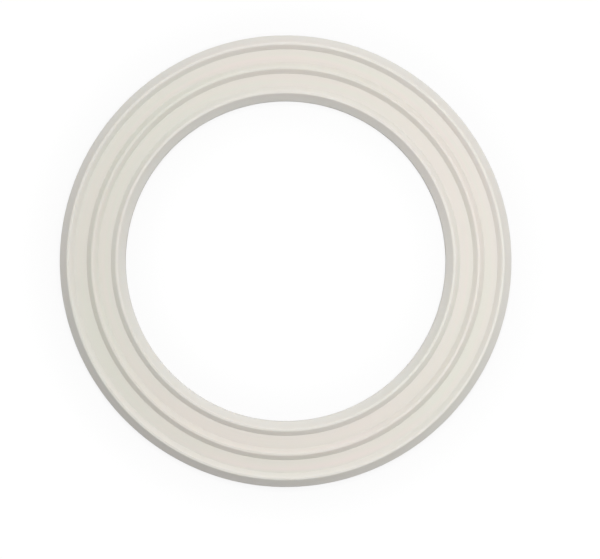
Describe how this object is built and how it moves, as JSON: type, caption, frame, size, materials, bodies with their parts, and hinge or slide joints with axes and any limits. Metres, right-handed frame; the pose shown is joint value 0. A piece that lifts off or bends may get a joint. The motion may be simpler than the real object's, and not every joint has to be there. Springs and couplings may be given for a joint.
{
  "type": "ribbed ring seal",
  "caption": "Flat moulded silicone ring seal with concentric ribs on its upper face, bevelled rims and a flat underside, made to be squeezed between flat faces around a round neck.",
  "frame": {"origin": "centre of the bore, on the plane of the flat underside that the ring rests on", "axes": "+Z along the ring's axis, up from the surface it lies on; the ring is the same all the way round, so +X and +Y are any two radii"},
  "size_m": [0.1184, 0.1184, 0.0032],
  "materials": {
    "silicone": "satin"
  },
  "bodies": {
    "root": {"seal_ring": "silicone"}
  },
  "joints": []
}
